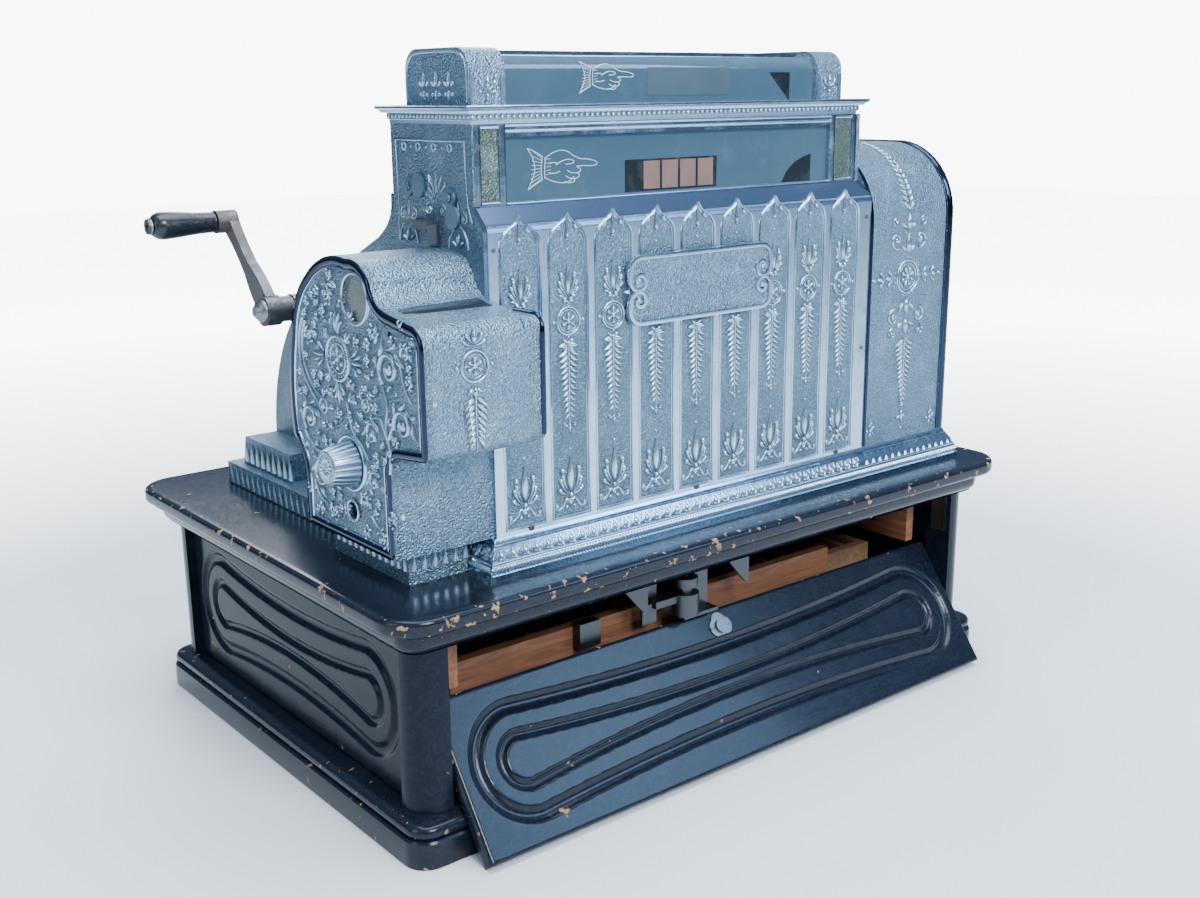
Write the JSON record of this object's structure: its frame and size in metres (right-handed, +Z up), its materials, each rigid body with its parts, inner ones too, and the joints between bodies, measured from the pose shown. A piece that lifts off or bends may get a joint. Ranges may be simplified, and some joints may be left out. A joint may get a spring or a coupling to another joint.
{
  "type": "ticket register",
  "caption": "Antique crank-worked ticket register: ornamented nickel-plated cabinet with indicator windows and a side printer, on an ebonised wooden drawer base.",
  "frame": {"origin": "middle of the base's underside, on the surface that the register stands on", "axes": "+X to the right along the customer's front, +Y away from the customer towards the clerk's side where the drawer opens, +Z up"},
  "size_m": [0.745, 0.5057, 0.59],
  "materials": {
    "ebonised_wood": "black ebonised gloss, chipped to bare wood",
    "bare_wood": "bare brown wood, dusty",
    "cast_nickel": "cast brass, nickel plated, stippled grounds with polished ornament",
    "polished_nickel": "bright nickel plate",
    "worn_steel": "worn steel, dull plate with brown patches",
    "lever_nickel": "nickel-plated steel",
    "painted_glass": "glass painted grey-blue on its back",
    "clear_glass": "clear glass over a dark inside",
    "ebonite": "polished black",
    "tablet_paint": "painted pinkish tablets"
  },
  "bodies": {
    "root": {"base_plinth": "ebonised_wood", "base_side_left": "ebonised_wood", "base_side_right": "ebonised_wood", "corner_posts": "ebonised_wood", "base_top_board": "ebonised_wood", "front_panel": "ebonised_wood", "base_bottom_board": "bare_wood", "drawer_runners": "bare_wood", "upper_liners": "bare_wood", "inner_board": "bare_wood", "cabinet_plinth": "cast_nickel", "left_plinth": "cast_nickel", "printer_plinth": "cast_nickel", "front_casting": "cast_nickel", "blank_cartouche": "cast_nickel", "side_plate_left": "cast_nickel", "side_plate_right": "cast_nickel", "right_housing": "cast_nickel", "indicator_frame": "cast_nickel", "cornice": "cast_nickel", "dome_cap_left": "cast_nickel", "dome_cap_right": "cast_nickel", "printer_plate": "cast_nickel", "printer_cover": "cast_nickel", "clerk_cover": "cast_nickel", "dome_rail": "polished_nickel", "panel_escutcheon": "polished_nickel", "base_irons": "worn_steel", "catch_bracket": "worn_steel", "panel_lock_case": "worn_steel", "side_strap": "worn_steel", "crank_sleeve": "worn_steel", "lever_shaft": "worn_steel", "indicator_shaft": "worn_steel", "indicator_glass": "painted_glass", "dome_glass": "painted_glass", "window_glass": "clear_glass", "upper_tablets": "tablet_paint"},
    "crank": {"crank_arm": "worn_steel", "crank_nut": "worn_steel"},
    "grip": {"crank_grip": "ebonite"},
    "roller": {"feed_roller": "worn_steel"},
    "knob": {"feed_knob": "polished_nickel"},
    "drawer": {"drawer_box": "bare_wood", "drawer_front": "ebonised_wood", "drawer_till": "bare_wood"},
    "catch": {"drawer_catch": "worn_steel"},
    "lock_bolt": {"panel_lock_bolt": "worn_steel"},
    "cover_1": {"keyhole_cover_1": "polished_nickel"},
    "cover_2": {"keyhole_cover_2": "polished_nickel"},
    "lever_1": {"lever_1": "lever_nickel"},
    "wheel_1": {"indicator_wheel_1": "tablet_paint"},
    "lever_2": {"lever_2": "lever_nickel"},
    "wheel_2": {"indicator_wheel_2": "tablet_paint"},
    "lever_3": {"lever_3": "lever_nickel"},
    "wheel_3": {"indicator_wheel_3": "tablet_paint"},
    "lever_4": {"lever_4": "lever_nickel"},
    "wheel_4": {"indicator_wheel_4": "tablet_paint"}
  },
  "joints": [
    {"name": "crank_turn", "type": "hinge", "parent": "root", "child": "crank", "pos_m": [-0.32, -0.03, 0.396], "axis": [1, 0, 0], "continuous": true},
    {"name": "grip_spin", "type": "hinge", "parent": "crank", "child": "grip", "pos_m": [-0.37, 0.03, 0.46079], "axis": [1, 0, 0], "continuous": true},
    {"name": "roller_turn", "type": "hinge", "parent": "root", "child": "roller", "pos_m": [-0.275, -0.197, 0.3965], "axis": [1, 0, 0], "continuous": true},
    {"name": "knob_turn", "type": "hinge", "parent": "root", "child": "knob", "pos_m": [-0.33, -0.132, 0.2925], "axis": [1, 0, 0], "continuous": true},
    {"name": "drawer_slide", "type": "slide", "parent": "root", "child": "drawer", "axis": [0, 1, 0], "range_m": [0, 0.25]},
    {"name": "catch_swing", "type": "hinge", "parent": "root", "child": "catch", "pos_m": [-0.035, -0.19, 0.135], "axis": [0, 0, 1], "range_deg": [0, 20], "stiffness_Nm_per_rad": 0.1},
    {"name": "bolt_slide", "type": "slide", "parent": "root", "child": "lock_bolt", "axis": [0, 0.5878, 0.809], "range_m": [0, 0.008]},
    {"name": "lever_1_swing", "type": "hinge", "parent": "root", "child": "lever_1", "pos_m": [-0.097, 0.004, 0.24], "axis": [1, 0, 0], "range_deg": [-48, 0]},
    {"name": "wheel_1_turn", "type": "hinge", "parent": "root", "child": "wheel_1", "pos_m": [-0.067, -0.12, 0.505], "axis": [1, 0, 0], "range_deg": [0, 324]},
    {"name": "lever_2_swing", "type": "hinge", "parent": "root", "child": "lever_2", "pos_m": [-0.047, 0.004, 0.24], "axis": [1, 0, 0], "range_deg": [-48, 0]},
    {"name": "wheel_2_turn", "type": "hinge", "parent": "root", "child": "wheel_2", "pos_m": [-0.047, -0.12, 0.505], "axis": [1, 0, 0], "range_deg": [0, 324]},
    {"name": "lever_3_swing", "type": "hinge", "parent": "root", "child": "lever_3", "pos_m": [0.003, 0.004, 0.24], "axis": [1, 0, 0], "range_deg": [-48, 0]},
    {"name": "wheel_3_turn", "type": "hinge", "parent": "root", "child": "wheel_3", "pos_m": [-0.027, -0.12, 0.505], "axis": [1, 0, 0], "range_deg": [0, 324]},
    {"name": "lever_4_swing", "type": "hinge", "parent": "root", "child": "lever_4", "pos_m": [0.053, 0.004, 0.24], "axis": [1, 0, 0], "range_deg": [-48, 0]},
    {"name": "wheel_4_turn", "type": "hinge", "parent": "root", "child": "wheel_4", "pos_m": [-0.007, -0.12, 0.505], "axis": [1, 0, 0], "range_deg": [0, 324]},
    {"name": "cover_1_swing", "type": "hinge", "parent": "root", "child": "cover_1", "pos_m": [-0.234, -0.0892, 0.4888], "axis": [1, 0, 0], "range_deg": [-80, 80]},
    {"name": "cover_2_swing", "type": "hinge", "parent": "root", "child": "cover_2", "pos_m": [-0.234, -0.1462, 0.4827], "axis": [1, 0, 0], "range_deg": [-80, 80]}
  ],
  "couplings": [
    {"joint": "roller_turn", "follows": "crank_turn", "ratio": -2},
    {"joint": "wheel_1_turn", "follows": "lever_1_swing", "ratio": -6.75},
    {"joint": "wheel_2_turn", "follows": "lever_2_swing", "ratio": -6.75},
    {"joint": "wheel_3_turn", "follows": "lever_3_swing", "ratio": -6.75},
    {"joint": "wheel_4_turn", "follows": "lever_4_swing", "ratio": -6.75}
  ]
}
